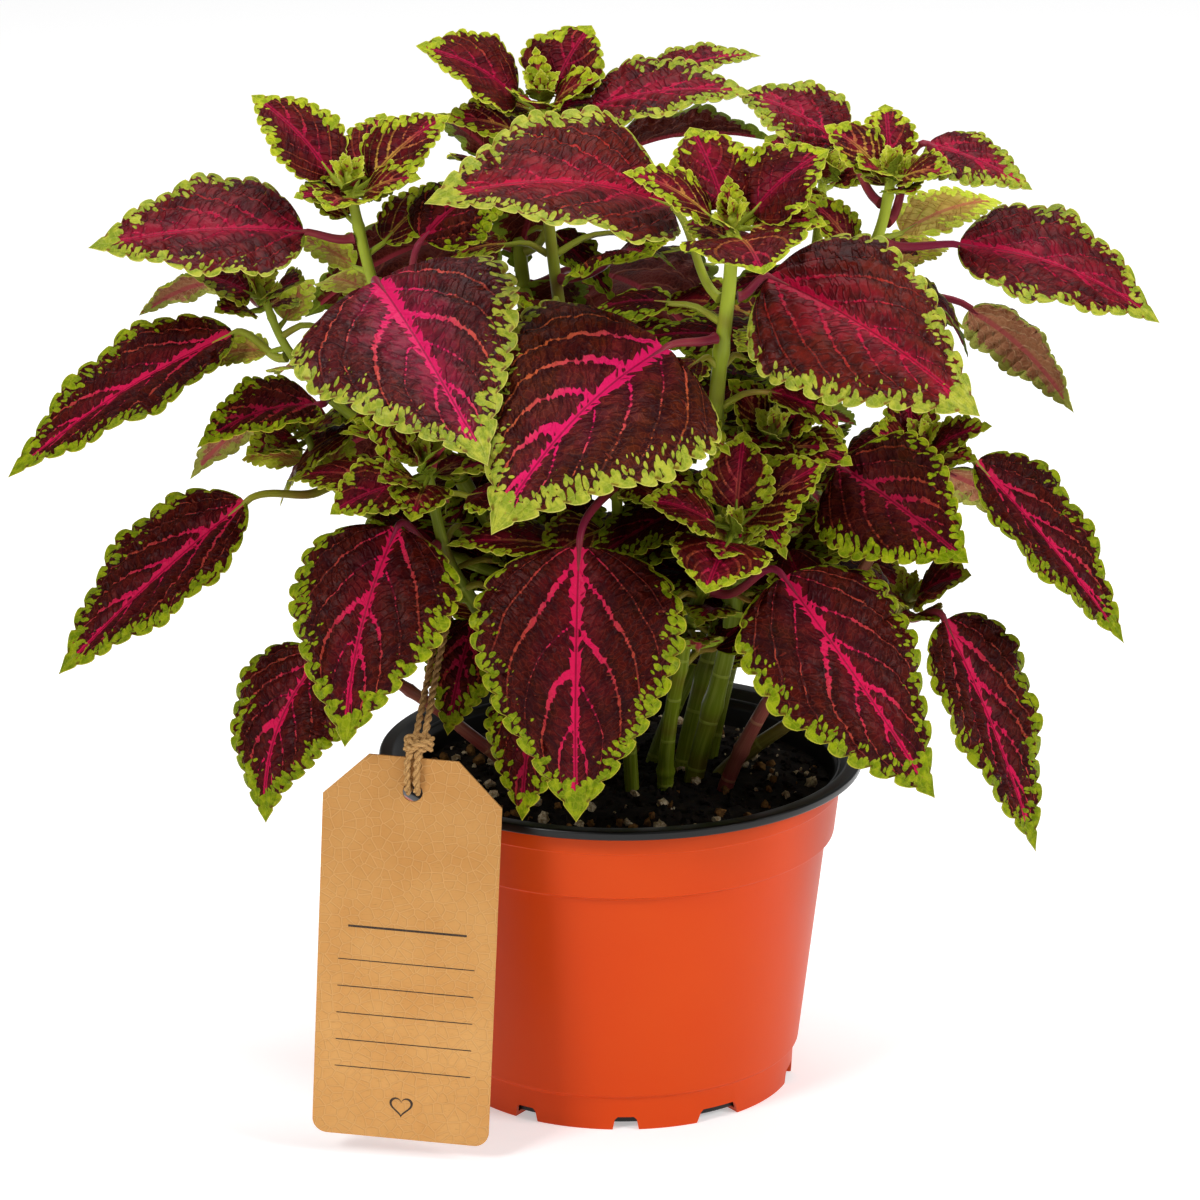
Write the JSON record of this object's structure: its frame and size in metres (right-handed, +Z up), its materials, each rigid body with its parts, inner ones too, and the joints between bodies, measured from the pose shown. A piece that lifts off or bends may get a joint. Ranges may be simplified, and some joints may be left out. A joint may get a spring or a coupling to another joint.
{
  "type": "potted coleus plant",
  "caption": "Bushy coleus with scalloped red leaves edged in lime, in a terracotta-coloured pot with a black inner pot, soil and a blank kraft care tag tied on with twine.",
  "frame": {"origin": "centre of the pot's flat underside, on the surface that the pot stands on", "axes": "+Z up; the front of the plant, where the tag hangs, looks along -Y, and +X is to the right seen from the front"},
  "size_m": [0.3836, 0.2492, 0.3608],
  "materials": {
    "terracotta_plastic": "satin terracotta-coloured moulded plastic",
    "black_plastic": "satin black moulded plastic",
    "potting_mix": "dark loose potting mix with pale perlite",
    "leaf": "quilted maroon leaf with magenta veins and a lime margin",
    "shoot": "fleshy green stem with small maroon and lime leaves",
    "kraft_card": "brown kraft card",
    "jute": "twisted jute twine"
  },
  "bodies": {
    "root": {"pot_shell": "terracotta_plastic", "pot_liner": "black_plastic", "soil": "potting_mix", "shoot_left": "shoot", "shoot_top": "shoot", "shoot_centre_right": "shoot", "shoot_right": "shoot", "shoot_front_right": "shoot", "shoot_front_left": "shoot", "shoot_front_centre": "shoot", "shoot_right_low": "shoot", "shoot_low_right": "shoot", "shoot_low_left": "shoot", "shoot_back_right": "shoot", "shoot_back_centre_right": "shoot", "shoot_back_front_right": "shoot", "shoot_back_front_left": "shoot", "leaf_front_centre": "leaf", "leaf_front_left": "leaf", "leaf_front_right": "leaf", "leaf_centre_great": "leaf", "leaf_upper_left_great": "leaf", "leaf_right_great": "leaf", "leaf_left_far_low": "leaf", "leaf_left_far_mid": "leaf", "leaf_left_upper": "leaf", "leaf_left_low": "leaf", "leaf_left_mid": "leaf", "leaf_left_mid_under": "leaf", "leaf_left_under": "leaf", "leaf_right_far_up": "leaf", "leaf_right_far_mid": "leaf", "leaf_right_under": "leaf", "leaf_right_low": "leaf", "leaf_right_mid_back": "leaf", "leaf_right_inner": "leaf", "leaf_right_top": "leaf", "leaf_top_centre_great": "leaf", "leaf_top_right_flat": "leaf", "leaf_top_right_back": "leaf", "leaf_top_far": "leaf", "leaf_upper_left_back": "leaf", "leaf_lower_inner": "leaf", "leaf_front_behind": "leaf", "leaf_inner_left": "leaf", "leaf_inner_centre": "leaf", "leaf_back_front_left": "leaf", "leaf_back_front_right": "leaf", "leaf_back_centre_great": "leaf", "leaf_back_right_great": "leaf", "leaf_back_right_inner": "leaf", "leaf_back_top_centre_great": "leaf", "tag": "kraft_card", "twine": "jute"}
  },
  "joints": []
}
